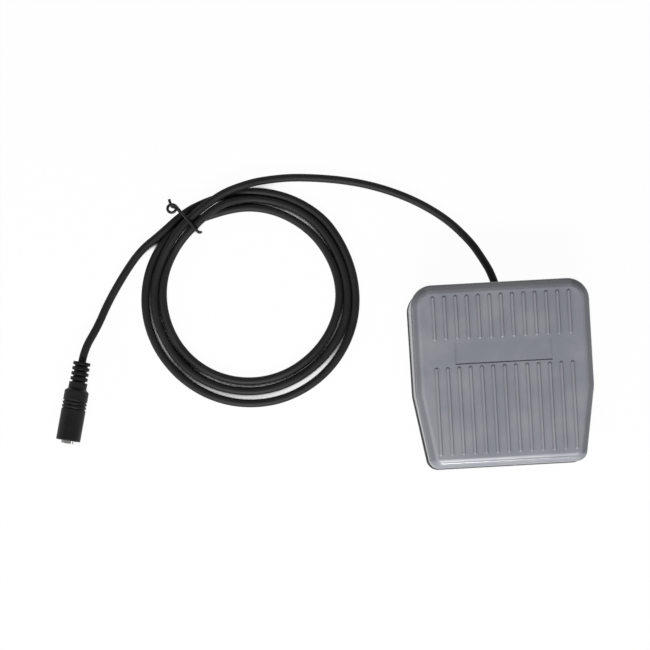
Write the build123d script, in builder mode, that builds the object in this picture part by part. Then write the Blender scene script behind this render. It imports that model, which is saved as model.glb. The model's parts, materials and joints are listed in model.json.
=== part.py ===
from build123d import *
import os
from math import cos, radians, sin, tan

# Push-to-talk foot switch: a grey moulded treadle on a base, a microswitch inside, and a tied cord
# with an inline socket on its end. Millimetres, +Z up, the front of the treadle towards -Y, and the
# origin on the floor under the middle of the base.

# Treadle outline in plan
COVER_WIDTH = 98.6
COVER_LENGTH = 100.4
TAPER_LENGTH = 41.0
TAPER_IN = 6.6
REAR_CORNER = 12.0
FRONT_CORNER = 6.0
BEND_RADIUS = 14.0

# Treadle top: a sloping plateau with a crest round it, and a sloped band down to the skirt
PLATEAU_SLOPE = 6.0
PLATEAU_HEIGHT = 27.0
CREST_SIDE = 5.0
CREST_REAR = 5.2
CREST_FRONT = 2.2
CREST_REAR_CORNER = 6.5
CREST_FRONT_CORNER = 2.5
BAND_DROP = 3.0
SHOULDER_RADIUS = 2.2
CREST_RADIUS = 1.0
COVER_TOP = 3.0
COVER_WALL = 2.5

# Grip beads and nameplate recess on the plateau
BEADS = 13
BEAD_PITCH = 6.22
BEAD_WIDTH = 2.1
BEAD_HEIGHT = 0.75
BEAD_SINK = 0.5
BEAD_FRONT_INSET = 6.6
BEAD_REAR_INSET = 7.0
PLATE_WIDTH = 53.2
PLATE_START = 5.6
PLATE_END = 17.6
PLATE_DEPTH = 0.6
PLATE_GAP_FRONT = 1.3
PLATE_GAP_REAR = 1.6

# Floor mat and base
MAT_THICKNESS = 1.5
MAT_INSET = 3.0
BASE_LIP = 0.5
BASE_FLOOR = 3.0
WELL_DEPTH = 2.0
WELL_MARGIN = 0.5
BASE_EDGE = 0.8
BASE_WALL = 2.2
SIDE_GAP = 1.0
WALL_TOP = 20.0
WALL_FRONT_TOP = 12.6
STOP_GAP = 0.3

# Hinge and travel
HINGE_INSET = 12.2
HINGE_HEIGHT = 14.0
HINGE_PIN_RADIUS = 2.0
HINGE_CLEARANCE = 0.05
HINGE_BOSS_RADIUS = 4.6
HINGE_BOSS_DEPTH = 4.0
TRAVEL = 4.0
SKIRT_SLOPE = 3.8

# Return springs
SPRING_SIDE_INSET = 21.3
SPRING_FRONT_INSET = 28.2
SPRING_RADIUS = 4.0
SPRING_WIRE = 0.5
SPRING_TURNS = 6
SPRING_TOP = 18.5
SPRING_SEAT_GAP = 0.1
SPRING_HEAD_GAP = 0.3
SEAT_RADIUS = 5.8
GUIDE_RADIUS = 2.8
GUIDE_HEIGHT = 5.0
HEAD_GUIDE = 3.0

# Travel bumpers
BUMPER_SIDE_INSET = 16.3
BUMPER_FRONT_INSET = 12.7
BUMPER_POST_RADIUS = 4.6
BUMPER_POST_TOP = 10.2
BUMPER_RADIUS = 4.0
BUMPER_HEIGHT = 3.4
BUMPER_ROUND = 1.4
BUMPER_STEM_RADIUS = 1.8
BUMPER_STEM_LENGTH = 5.0

# Microswitch
SWITCH_Y = 4.0
SWITCH_LENGTH = 19.8
SWITCH_DEPTH = 6.4
SWITCH_HEADROOM = 6.7
CASE_HEIGHT = 5.6
CASE_COVER_HEIGHT = 3.5
SWITCH_HOLE_PITCH = 9.5
SWITCH_HOLE_RADIUS = 1.18
SWITCH_HOLE_HEIGHT = 2.9
TERMINAL_OFFSETS = {"common": 8.05, "open": -0.75, "closed": -8.05}
TERMINAL_WIDTH = 2.3
TERMINAL_LENGTH = 2.8
TERMINAL_THICKNESS = 0.5
TERMINAL_EYE = 0.5
LEVER_PIVOT_OFFSET = 8.6
LEVER_PIVOT_LIFT = 0.9
LEVER_PIN_RADIUS = 0.5
LEVER_BARREL_RADIUS = 1.0
LEVER_CLEARANCE = 0.06
LEVER_THICKNESS = 0.5
LEVER_WIDTH = 4.0
LEVER_REACH = 17.4
LEVER_DOWN_ANGLE = 1.2
LUG_THICKNESS = 1.0
LUG_RADIUS = 1.6
PLUNGER_OFFSET = 3.6
PLUNGER_RADIUS = 0.8
PLUNGER_CLEARANCE = 0.08
PLUNGER_DEPTH = 2.2
PLUNGER_GAP = 0.3
PRESSER_Y = -3.0
PRESSER_RADIUS = 1.0
PRESSER_WIDTH = 5.0
PRESSER_GAP = 0.3

# Switch bracket and its fasteners
BRACKET_THICKNESS = 1.2
BRACKET_FOOT = 9.6
BRACKET_LENGTH = 17.0
BRACKET_HOLE_RADIUS = 1.6
BRACKET_SCREW_PITCH = 9.0
BRACKET_SCREW_BITE = 2.4
SCREW_RADIUS = 1.45
SCREW_HEAD_RADIUS = 2.8
SCREW_HEAD_HEIGHT = 1.9
SCREW_HEAD_ROUND = 0.9
SCREW_SLOT_WIDTH = 0.8
SCREW_SLOT_DEPTH = 0.9
SWITCH_SCREW_RADIUS = 1.0
SWITCH_HEAD_RADIUS = 1.9
SWITCH_HEAD_HEIGHT = 1.3
NUT_ACROSS_FLATS = 4.0
NUT_THICKNESS = 1.6
NUT_CLEARANCE = 0.05

# Cord entry: grommet in the rear wall, and a clamp on the floor
CORD_RADIUS = 2.25
CORD_X = 1.0
ENTRY_HEIGHT = 9.0
CORD_FIT = 0.05
GROMMET_FLANGE_RADIUS = 4.4
GROMMET_WAIST_RADIUS = 3.3
GROMMET_FLANGE = 1.5
GROMMET_NOSE_RADIUS = 3.2
NOSE_PAST_EDGE = 0.4
NOSE_DRAFT = 0.3
NOTCH_GAP = 1.0
CLAMP_TO_PIN = 8.5
CLAMP_WIDTH = 6.0
CLAMP_HALF_LENGTH = 10.5
CLAMP_SCREW_OFFSET = 7.2
CLAMP_SPLIT = 0.3
CLAMP_TOP = 13.2
CLAMP_SCREW_BITE = 6.0
STUB_END = 22.0
WIRE_RADIUS = 0.6
WIRE_SPACING = 2.2

# Free cord, in the order in which it runs: the lead out of the housing, the tied coil, the tail
LEAD_POINTS = [
    (CORD_X, 50.0, ENTRY_HEIGHT),
    (-0.9, 57.8, 8.8),
    (-5.3, 67.3, 6.4),
    (-11.0, 78.0, 3.6),
    (-24.9, 93.4, CORD_RADIUS),
    (-46.9, 107.2, CORD_RADIUS),
    (-74.4, 117.0, CORD_RADIUS),
    (-107.4, 121.4, CORD_RADIUS),
    (-127.9, 119.9, 4.4),
    (-138.4, 117.3, 6.5),
]
COIL_X = -138.0
COIL_Y = 54.5
COIL_INNER = 47.5
COIL_OUTER = 63.8
COIL_ROUND = 1.8
PILE_HEIGHT = 8.6
PILES = {"under the tie": (80.0, 72.0), "where turns cross": (288.0, 46.0)}
SOCKET_HEADING = 12.0
SOCKET_TIP_X = -244.0
SOCKET_TIP_Y = -24.9
TAIL_POINTS = [
    (-188.9, 91.2, CORD_RADIUS),
    (-198.4, 84.3, CORD_RADIUS),
    (-207.1, 73.7, CORD_RADIUS),
    (-218.9, 55.0, CORD_RADIUS),
    (-225.5, 40.3, 3.4),
]
TAIL_STRAIGHT = 7.5
ARC_SHARE = 0.45

# Twist tie round the coil
TIE_ANGLE = 127.4
TIE_RADIUS = 0.65
TIE_CORNER = 1.2
TIE_TOP = 9.6
TIE_END_LOW = 3.4
TIE_END_HIGH = 5.4
TIE_END_LENGTH = 3.4

# Inline socket, measured along its axis from the front of the metal sleeve
SOCKET_RADIUS = 6.75
SLEEVE_OUT = 1.8
SLEEVE_RADIUS = 4.5
SLEEVE_LENGTH = 14.0
JACK_BORE = 3.2
BARREL_EASE = 0.3
GRIP_START = 19.4
GRIP_GROOVES = 3
GRIP_PITCH = 2.0
GRIP_GROOVE = 0.9
GRIP_DEPTH = 0.55
SHOULDER_START = 31.2
SHOULDER_ROUND = 2.0
COLLAR_RADIUS = 5.1
COLLAR_END = 34.8
RELIEF_RINGS = 4
RELIEF_PITCH = 2.9
RELIEF_NECK = 1.0
RELIEF_RADIUS = 4.85
RELIEF_NECK_RADIUS = 3.65
INSULATOR_END = 30.0
INSULATOR_WALL = 2.0
CONTACT_WIDTH = 1.8
CONTACT_THICKNESS = 0.4
CONTACT_LENGTH = 6.5
CONTACT_RISE = 1.0

# Places that follow from the sizes above
HALF_WIDTH = COVER_WIDTH / 2
HALF_LENGTH = COVER_LENGTH / 2
HINGE_Y = HALF_LENGTH - HINGE_INSET
CLAMP_Y = HINGE_Y - CLAMP_TO_PIN
FLOOR_TOP = MAT_THICKNESS + BASE_FLOOR
WALL_OUT = -COVER_WALL - SIDE_GAP
WALL_IN = WALL_OUT - BASE_WALL
REAR_WALL_OUT = HALF_LENGTH + WALL_OUT
REAR_WALL_IN = HALF_LENGTH + WALL_IN
CASE_TOP = PLATEAU_HEIGHT - COVER_TOP - SWITCH_HEADROOM
CASE_SPLIT = CASE_TOP - CASE_COVER_HEIGHT
CASE_BOTTOM = CASE_SPLIT - CASE_HEIGHT
PIVOT_Y = SWITCH_Y + LEVER_PIVOT_OFFSET
PIVOT_Z = CASE_TOP + LEVER_PIVOT_LIFT
LEVER_RATIO = (HINGE_Y - PRESSER_Y) / (PIVOT_Y - PRESSER_Y)
LEVER_REST_ANGLE = LEVER_DOWN_ANGLE + TRAVEL * LEVER_RATIO
CORD_BORE = CORD_RADIUS + CORD_FIT
SOCKET_END = COLLAR_END + RELIEF_RINGS * RELIEF_PITCH

os.makedirs("parts", exist_ok=True)


def tilted(height):
    """Plane parallel to the plateau, crossing the middle of the treadle at the given height."""
    lean = radians(PLATEAU_SLOPE)
    return Plane(origin=(0, 0, height), x_dir=(1, 0, 0), z_dir=(0, -sin(lean), cos(lean)))


def outline(plane, side, rear, front, rear_corner, front_corner, slope=0.0):
    """Tapered rounded square; side, rear and front are moved in from the treadle's edge."""
    along = cos(radians(slope))
    half = HALF_WIDTH - side
    back = (HALF_LENGTH - rear) / along
    nose = (front - HALF_LENGTH) / along
    bend = (TAPER_LENGTH - HALF_LENGTH) / along
    narrow = half - TAPER_IN * (bend - nose) / (TAPER_LENGTH / along)
    with BuildSketch(plane) as shape:
        with BuildLine():
            Polyline((-half, back), (half, back), (half, bend), (narrow, nose), (-narrow, nose),
                     (-half, bend), close=True)
        make_face()
        fillet(shape.vertices().group_by(Axis.Y)[-1], rear_corner)
        fillet(shape.vertices().group_by(Axis.Y)[0], front_corner)
        fillet(shape.vertices().filter_by(lambda corner: abs(corner.Y - bend) < 0.01), BEND_RADIUS)
    return shape.sketch


def grown(plane, amount, slope=0.0):
    """Outline of the treadle's skirt, moved outwards by the amount, or inwards where it is less than 0."""
    return outline(plane, -amount, -amount, -amount, REAR_CORNER + amount,
                   max(FRONT_CORNER + amount, 1.0), slope)


def tangent_radii(points):
    """Arc radius at each inner point: as large as its two runs allow."""
    radii = []
    for before, here, after in zip(points, points[1:], points[2:]):
        run_in = Vector(*here) - Vector(*before)
        run_out = Vector(*after) - Vector(*here)
        half_turn = radians(run_in.get_angle(run_out)) / 2
        radii.append(ARC_SHARE * min(run_in.length, run_out.length) / tan(half_turn))
    return radii


def tube(points, radius):
    """Round tube along straight runs joined by tangent arcs."""
    with BuildPart() as body:
        with BuildLine() as path:
            FilletPolyline(*points, radius=tangent_radii(points))
        start = path.edges().sort_by_distance(points[0])[0]
        heading = Vector(*points[1]) - Vector(*points[0])
        with BuildSketch(Plane(origin=points[0], z_dir=heading)):
            Circle(radius)
        sweep(path=path.wires()[0])
    return body.part


def pan_screw(length):
    """Slotted pan-head screw pointing down, with the seat of its head at the origin."""
    with BuildPart() as screw:
        Cylinder(SCREW_HEAD_RADIUS, SCREW_HEAD_HEIGHT, align=(Align.CENTER, Align.CENTER, Align.MIN))
        fillet(screw.edges().group_by(Axis.Z)[-1], SCREW_HEAD_ROUND)
        with Locations((0, 0, SCREW_HEAD_HEIGHT)):
            Box(2 * SCREW_HEAD_RADIUS, SCREW_SLOT_WIDTH, 2 * SCREW_SLOT_DEPTH, mode=Mode.SUBTRACT)
        Cylinder(SCREW_RADIUS, length, align=(Align.CENTER, Align.CENTER, Align.MAX))
    return screw.part


# Rubber mat, glued under the base
with BuildPart() as rubber_mat:
    extrude(grown(Plane.XY, -MAT_INSET), amount=MAT_THICKNESS)
rubber_mat.part.label = "rubber_mat"
export_step(rubber_mat.part, "parts/rubber_mat.step")

# Base housing: flange, sloping walls inside the treadle's skirt, bosses and posts
WALL_SLOPE = PLATEAU_SLOPE + TRAVEL
WALL_NOSE_Y = -HALF_LENGTH - WALL_OUT
wall_lean = radians(WALL_SLOPE)
wall_cut = Plane(origin=(0, WALL_NOSE_Y, WALL_FRONT_TOP), x_dir=(1, 0, 0),
                 z_dir=(0, -sin(wall_lean), cos(wall_lean)))
spring_x = HALF_WIDTH - SPRING_SIDE_INSET
spring_y = SPRING_FRONT_INSET - HALF_LENGTH
spring_places = [(-spring_x, spring_y), (spring_x, spring_y)]
bumper_x = HALF_WIDTH - BUMPER_SIDE_INSET
bumper_y = BUMPER_FRONT_INSET - HALF_LENGTH
bumper_places = [(-bumper_x, bumper_y), (bumper_x, bumper_y)]
clamp_places = [(CORD_X - CLAMP_SCREW_OFFSET, CLAMP_Y), (CORD_X + CLAMP_SCREW_OFFSET, CLAMP_Y)]
bracket_face = -SWITCH_DEPTH / 2
bracket_screw_x = bracket_face - BRACKET_THICKNESS - BRACKET_FOOT / 2
bracket_places = [(bracket_screw_x, SWITCH_Y - BRACKET_SCREW_PITCH / 2),
                  (bracket_screw_x, SWITCH_Y + BRACKET_SCREW_PITCH / 2)]
saddle_top = ENTRY_HEIGHT - CLAMP_SPLIT
ear_reach = HALF_WIDTH + WALL_IN - HINGE_BOSS_DEPTH

with BuildPart() as base_housing:
    extrude(grown(Plane.XY.offset(MAT_THICKNESS), BASE_LIP), amount=BASE_FLOOR)
    fillet(base_housing.edges().group_by(Axis.Z)[-1], BASE_EDGE)
    extrude(grown(Plane.XY.offset(MAT_THICKNESS), WALL_OUT), amount=WALL_TOP - MAT_THICKNESS)
    split(bisect_by=wall_cut, keep=Keep.BOTTOM)
    extrude(grown(Plane.XY.offset(FLOOR_TOP), WALL_IN), amount=WALL_TOP, mode=Mode.SUBTRACT)
    with Locations(*[(side * (ear_reach + HINGE_BOSS_DEPTH / 2 + BASE_WALL / 4), HINGE_Y, HINGE_HEIGHT)
                     for side in (-1, 1)]):
        Cylinder(HINGE_BOSS_RADIUS, HINGE_BOSS_DEPTH + BASE_WALL / 2, rotation=(0, 90, 0))
    with Locations((0, HINGE_Y, HINGE_HEIGHT)):
        Cylinder(HINGE_PIN_RADIUS + HINGE_CLEARANCE, COVER_WIDTH, rotation=(0, 90, 0), mode=Mode.SUBTRACT)
    with Locations(*[(x, y, FLOOR_TOP) for x, y in spring_places]):
        Cylinder(GUIDE_RADIUS, GUIDE_HEIGHT, align=(Align.CENTER, Align.CENTER, Align.MIN))
    with Locations(*[(x, y, FLOOR_TOP) for x, y in bumper_places]):
        Cylinder(BUMPER_POST_RADIUS, BUMPER_POST_TOP - FLOOR_TOP,
                 align=(Align.CENTER, Align.CENTER, Align.MIN))
    with Locations(*[(x, y, BUMPER_POST_TOP) for x, y in bumper_places]):
        Cylinder(BUMPER_STEM_RADIUS + CORD_FIT, BUMPER_STEM_LENGTH + STOP_GAP,
                 align=(Align.CENTER, Align.CENTER, Align.MAX), mode=Mode.SUBTRACT)
    with Locations((0, (SWITCH_Y - SWITCH_LENGTH / 2 + STUB_END) / 2, FLOOR_TOP)):
        Box(SWITCH_DEPTH + 2 * WELL_MARGIN, STUB_END - SWITCH_Y + SWITCH_LENGTH / 2, WELL_DEPTH,
            align=(Align.CENTER, Align.CENTER, Align.MAX), mode=Mode.SUBTRACT)
    with Locations((CORD_X, CLAMP_Y, FLOOR_TOP)):
        Box(2 * CLAMP_HALF_LENGTH, CLAMP_WIDTH, saddle_top - FLOOR_TOP,
            align=(Align.CENTER, Align.CENTER, Align.MIN))
    with Locations((CORD_X, CLAMP_Y, ENTRY_HEIGHT)):
        Cylinder(CORD_BORE, 2 * CLAMP_WIDTH, rotation=(90, 0, 0), mode=Mode.SUBTRACT)
    with Locations((CORD_X, REAR_WALL_IN + BASE_WALL / 2, ENTRY_HEIGHT)):
        Cylinder(GROMMET_WAIST_RADIUS + CORD_FIT, 2 * BASE_WALL, rotation=(90, 0, 0), mode=Mode.SUBTRACT)
    with Locations(*[(x, y, saddle_top) for x, y in clamp_places]):
        Cylinder(SCREW_RADIUS + CORD_FIT, CLAMP_SCREW_BITE, align=(Align.CENTER, Align.CENTER, Align.MAX),
                 mode=Mode.SUBTRACT)
    with Locations(*[(x, y, FLOOR_TOP) for x, y in bracket_places]):
        Cylinder(SCREW_RADIUS + CORD_FIT, BRACKET_SCREW_BITE + CORD_FIT,
                 align=(Align.CENTER, Align.CENTER, Align.MAX), mode=Mode.SUBTRACT)
base_housing.part.label = "base_housing"
export_step(base_housing.part, "parts/base_housing.step")

# Pedal cover: skirt, sloped band, plateau, beads, nameplate recess, and the posts under it
cover_under = PLATEAU_HEIGHT - COVER_TOP
skirt_plane = tilted(PLATEAU_HEIGHT - BAND_DROP)
top_plane = tilted(PLATEAU_HEIGHT)
skirt_reach = PLATEAU_HEIGHT + HALF_LENGTH * tan(radians(PLATEAU_SLOPE))
skirt_lean = radians(SKIRT_SLOPE)
skirt_low = Plane(origin=(0, HALF_LENGTH, FLOOR_TOP + STOP_GAP), x_dir=(1, 0, 0),
                  z_dir=(0, sin(skirt_lean), cos(skirt_lean)))
crest = outline(top_plane, CREST_SIDE, CREST_REAR, CREST_FRONT, CREST_REAR_CORNER, CREST_FRONT_CORNER,
                PLATEAU_SLOPE)
skirt = grown(skirt_plane, 0, PLATEAU_SLOPE)
skirt_foot = grown(tilted(PLATEAU_HEIGHT - skirt_reach), 0, PLATEAU_SLOPE)
bead_places = [top_plane.location * place for place in GridLocations(BEAD_PITCH, 1, BEADS, 1)]
lever_lean = radians(LEVER_REST_ANGLE)
presser_z = (PIVOT_Z + (PIVOT_Y - PRESSER_Y) * tan(lever_lean)
             + (LEVER_THICKNESS / 2 + PRESSER_RADIUS + PRESSER_GAP) / cos(lever_lean))
web_top = cover_under + PRESSER_Y * tan(radians(PLATEAU_SLOPE)) + COVER_TOP / 2


def bead(start, end):
    """One raised grip bead with round ends, standing on the plateau."""
    along = cos(radians(PLATEAU_SLOPE))
    middle = (start + end) / 2 / along
    with BuildPart() as strip:
        with BuildSketch(Plane(origin=(0, middle, -BEAD_SINK))):
            SlotOverall((end - start) / along, BEAD_WIDTH, rotation=90)
        extrude(amount=BEAD_SINK + BEAD_HEIGHT)
        fillet(strip.edges().group_by(Axis.Z)[-1], 0.45 * BEAD_WIDTH - 0.3)
    return strip.part


def under_post(x, y, radius, low):
    """Upright post from the given height into the underside of the treadle."""
    top = cover_under + y * tan(radians(PLATEAU_SLOPE)) + COVER_TOP / 2
    with Locations((x, y, low)):
        Cylinder(radius, top - low, align=(Align.CENTER, Align.CENTER, Align.MIN))


with BuildPart() as pedal_cover:
    loft([skirt_foot, skirt, crest], ruled=True)
    shoulder = pedal_cover.edges().filter_by(
        lambda edge: abs(skirt_plane.to_local_coords(edge.center()).Z) < 0.01)
    rim = pedal_cover.edges().filter_by(
        lambda edge: abs(top_plane.to_local_coords(edge.center()).Z) < 0.01)
    fillet(shoulder, SHOULDER_RADIUS)
    fillet(rim, CREST_RADIUS)
    extrude(grown(tilted(cover_under), -COVER_WALL, PLATEAU_SLOPE), amount=skirt_reach,
            dir=(0, 0, -1), mode=Mode.SUBTRACT)
    split(bisect_by=skirt_low, keep=Keep.TOP)
    with Locations((0, HINGE_Y, HINGE_HEIGHT)):
        Cylinder(HINGE_PIN_RADIUS, 2 * COVER_WIDTH, rotation=(0, 90, 0), mode=Mode.SUBTRACT)
    with BuildSketch(Plane.XZ.offset(-HALF_LENGTH - COVER_WALL)):
        with Locations((CORD_X, ENTRY_HEIGHT)):
            SlotCenterPoint((0, 0), (0, -ENTRY_HEIGHT), 2 * (GROMMET_FLANGE_RADIUS + NOTCH_GAP))
    extrude(amount=3 * COVER_WALL, mode=Mode.SUBTRACT)
    for place_x, place_y in spring_places:
        under_post(place_x, place_y, SEAT_RADIUS, SPRING_TOP)
        under_post(place_x, place_y, GUIDE_RADIUS, SPRING_TOP - HEAD_GUIDE)
    with Locations((0, PRESSER_Y, presser_z)):
        Cylinder(PRESSER_RADIUS, PRESSER_WIDTH, rotation=(0, 90, 0))
        Box(PRESSER_WIDTH, 2 * PRESSER_RADIUS, web_top - presser_z,
            align=(Align.CENTER, Align.CENTER, Align.MIN))
    with BuildSketch(top_plane):
        with Locations((0, (PLATE_START + PLATE_END) / 2)):
            Rectangle(PLATE_WIDTH, PLATE_END - PLATE_START)
    extrude(amount=-PLATE_DEPTH, mode=Mode.SUBTRACT)
    with Locations(*bead_places):
        add(bead(BEAD_FRONT_INSET - HALF_LENGTH, PLATE_START - PLATE_GAP_FRONT))
        add(bead(PLATE_END + PLATE_GAP_REAR, HALF_LENGTH - BEAD_REAR_INSET))
pedal_cover.part.label = "pedal_cover"
export_step(pedal_cover.part, "parts/pedal_cover.step")

# Hinge pin, held in the skirt on both sides and turning in the base's walls
with BuildPart() as hinge_pin:
    with Locations((0, HINGE_Y, HINGE_HEIGHT)):
        Cylinder(HINGE_PIN_RADIUS, COVER_WIDTH, rotation=(0, 90, 0))
    chamfer(hinge_pin.edges().filter_by(GeomType.CIRCLE), 0.3)
hinge_pin.part.label = "hinge_pin"
export_step(hinge_pin.part, "parts/hinge_pin.step")

# Return springs over the guides of the base
spring_low = FLOOR_TOP + SPRING_SEAT_GAP + SPRING_WIRE
spring_high = SPRING_TOP - SPRING_HEAD_GAP - SPRING_WIRE
for side, (place_x, place_y) in zip(("left", "right"), spring_places):
    with BuildPart() as return_spring:
        with BuildLine() as coil_line:
            Helix((spring_high - spring_low) / SPRING_TURNS, spring_high - spring_low, SPRING_RADIUS,
                  center=(place_x, place_y, spring_low))
        with BuildSketch(Plane(origin=coil_line.line @ 0, z_dir=coil_line.line % 0)):
            Circle(SPRING_WIRE)
        sweep(is_frenet=True)
    return_spring.part.label = f"return_spring_{side}"
    export_step(return_spring.part, f"parts/return_spring_{side}.step")

# Rubber travel bumpers, pushed into the front posts
with BuildPart() as travel_bumpers:
    with Locations(*[(x, y, BUMPER_POST_TOP) for x, y in bumper_places]):
        Cylinder(BUMPER_RADIUS, BUMPER_HEIGHT, align=(Align.CENTER, Align.CENTER, Align.MIN))
    fillet(travel_bumpers.edges().group_by(Axis.Z)[-1], BUMPER_ROUND)
    with Locations(*[(x, y, BUMPER_POST_TOP) for x, y in bumper_places]):
        Cylinder(BUMPER_STEM_RADIUS, BUMPER_STEM_LENGTH, align=(Align.CENTER, Align.CENTER, Align.MAX))
travel_bumpers.part.label = "travel_bumpers"
export_step(travel_bumpers.part, "parts/travel_bumpers.step")

# Microswitch case, with the two mounting holes
hole_places = [(SWITCH_Y - SWITCH_HOLE_PITCH / 2, CASE_BOTTOM + SWITCH_HOLE_HEIGHT),
               (SWITCH_Y + SWITCH_HOLE_PITCH / 2, CASE_BOTTOM + SWITCH_HOLE_HEIGHT)]
with BuildPart() as switch_case:
    with Locations((0, SWITCH_Y, CASE_BOTTOM)):
        Box(SWITCH_DEPTH, SWITCH_LENGTH, CASE_HEIGHT, align=(Align.CENTER, Align.CENTER, Align.MIN))
    fillet(switch_case.edges().filter_by(Axis.Z), 0.4)
    with Locations(*[(0, y, z) for y, z in hole_places]):
        Cylinder(SWITCH_HOLE_RADIUS, 2 * SWITCH_DEPTH, rotation=(0, 90, 0), mode=Mode.SUBTRACT)
switch_case.part.label = "switch_case"
export_step(switch_case.part, "parts/switch_case.step")

# Microswitch cover, with the plunger's bore and the two lugs of the lever
lug_x = SWITCH_DEPTH / 2 - LUG_THICKNESS / 2
plunger_y = PIVOT_Y - PLUNGER_OFFSET - LEVER_BARREL_RADIUS
with BuildPart() as switch_cover:
    with Locations((0, SWITCH_Y, CASE_SPLIT)):
        Box(SWITCH_DEPTH, SWITCH_LENGTH, CASE_COVER_HEIGHT, align=(Align.CENTER, Align.CENTER, Align.MIN))
    fillet(switch_cover.edges().filter_by(Axis.Z), 0.4)
    with Locations((0, plunger_y, CASE_SPLIT)):
        Cylinder(PLUNGER_RADIUS + PLUNGER_CLEARANCE, 3 * CASE_COVER_HEIGHT, mode=Mode.SUBTRACT)
    with BuildSketch(Plane.YZ.offset(-lug_x), Plane.YZ.offset(lug_x)):
        with Locations((PIVOT_Y, PIVOT_Z)):
            SlotCenterPoint((0, 0), (0, -LUG_RADIUS), 2 * LUG_RADIUS - 0.2)
    extrude(amount=LUG_THICKNESS / 2, both=True)
    with Locations((0, PIVOT_Y, PIVOT_Z)):
        Cylinder(LEVER_PIN_RADIUS, 2 * SWITCH_DEPTH, rotation=(0, 90, 0), mode=Mode.SUBTRACT)
    with Locations((0, PIVOT_Y, PIVOT_Z)):
        Cylinder(LEVER_BARREL_RADIUS + STOP_GAP, SWITCH_DEPTH - 2 * LUG_THICKNESS, rotation=(0, 90, 0),
                 mode=Mode.SUBTRACT)
switch_cover.part.label = "switch_cover"
export_step(switch_cover.part, "parts/switch_cover.step")

# Lever pin, held in the lugs
with BuildPart() as lever_pin:
    with Locations((0, PIVOT_Y, PIVOT_Z)):
        Cylinder(LEVER_PIN_RADIUS, SWITCH_DEPTH, rotation=(0, 90, 0))
lever_pin.part.label = "lever_pin"
export_step(lever_pin.part, "parts/lever_pin.step")

# Lever: a rolled barrel and a flat blade that stands up towards the front at rest
blade_width = min(LEVER_WIDTH, SWITCH_DEPTH - 2 * LUG_THICKNESS - 2 * CORD_FIT - 0.2)
blade_plane = Plane(origin=(0, PIVOT_Y, PIVOT_Z), x_dir=(1, 0, 0),
                    z_dir=(0, sin(lever_lean), cos(lever_lean)))
with BuildPart() as switch_lever:
    with BuildSketch(blade_plane.offset(-LEVER_THICKNESS / 2)):
        with Locations((0, -LEVER_REACH / 2)):
            RectangleRounded(blade_width, LEVER_REACH, 0.8)
    extrude(amount=LEVER_THICKNESS)
    with Locations((0, PIVOT_Y, PIVOT_Z)):
        Cylinder(LEVER_BARREL_RADIUS, blade_width, rotation=(0, 90, 0))
        Cylinder(LEVER_PIN_RADIUS + LEVER_CLEARANCE, SWITCH_DEPTH, rotation=(0, 90, 0), mode=Mode.SUBTRACT)
switch_lever.part.label = "switch_lever"
export_step(switch_lever.part, "parts/switch_lever.step")

# Plunger under the lever
plunger_top = (PIVOT_Z + (PIVOT_Y - plunger_y) * tan(lever_lean)
               - (LEVER_THICKNESS / 2 + PLUNGER_GAP) / cos(lever_lean)
               - PLUNGER_RADIUS * tan(lever_lean))
with BuildPart() as switch_plunger:
    with Locations((0, plunger_y, plunger_top)):
        Cylinder(PLUNGER_RADIUS, plunger_top - CASE_TOP + PLUNGER_DEPTH,
                 align=(Align.CENTER, Align.CENTER, Align.MAX))
    fillet(switch_plunger.edges().group_by(Axis.Z)[-1], 0.3)
switch_plunger.part.label = "switch_plunger"
export_step(switch_plunger.part, "parts/switch_plunger.step")

# Solder terminals under the case
for name, offset_y in TERMINAL_OFFSETS.items():
    with BuildPart() as terminal:
        with Locations((0, SWITCH_Y + offset_y, CASE_BOTTOM)):
            Box(TERMINAL_THICKNESS, TERMINAL_WIDTH, TERMINAL_LENGTH,
                align=(Align.CENTER, Align.CENTER, Align.MAX))
        with Locations((0, SWITCH_Y + offset_y, CASE_BOTTOM - TERMINAL_LENGTH / 2)):
            Cylinder(TERMINAL_EYE, 2 * TERMINAL_THICKNESS, rotation=(0, 90, 0), mode=Mode.SUBTRACT)
    terminal.part.label = f"terminal_{name}"
    export_step(terminal.part, f"parts/terminal_{name}.step")

# Folded steel bracket that holds the switch upright
bracket_height = CASE_SPLIT - FLOOR_TOP
with BuildPart() as switch_bracket:
    with Locations((bracket_face, SWITCH_Y, FLOOR_TOP)):
        Box(BRACKET_THICKNESS, BRACKET_LENGTH, bracket_height, align=(Align.MAX, Align.CENTER, Align.MIN))
        Box(BRACKET_THICKNESS + BRACKET_FOOT, BRACKET_LENGTH, BRACKET_THICKNESS,
            align=(Align.MAX, Align.CENTER, Align.MIN))
    bend_edge = switch_bracket.edges().filter_by(Axis.Y).filter_by(
        lambda edge: abs(edge.center().X - bracket_face) < 0.01
        and abs(edge.center().Z - FLOOR_TOP) < 0.01)
    fillet(bend_edge, BRACKET_THICKNESS / 2)
    with Locations(*[(bracket_face, y, z) for y, z in hole_places]):
        Cylinder(SWITCH_HOLE_RADIUS, 4 * BRACKET_THICKNESS, rotation=(0, 90, 0), mode=Mode.SUBTRACT)
    with Locations(*[(x, y, FLOOR_TOP) for x, y in bracket_places]):
        Cylinder(BRACKET_HOLE_RADIUS, 4 * BRACKET_THICKNESS, mode=Mode.SUBTRACT)
switch_bracket.part.label = "switch_bracket"
export_step(switch_bracket.part, "parts/switch_bracket.step")

# Screws of the bracket and of the clamp
with BuildPart() as bracket_screws:
    with Locations(*[(x, y, FLOOR_TOP + BRACKET_THICKNESS) for x, y in bracket_places]):
        add(pan_screw(BRACKET_THICKNESS + BRACKET_SCREW_BITE))
bracket_screws.part.label = "bracket_screws"
export_step(bracket_screws.part, "parts/bracket_screws.step")

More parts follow.
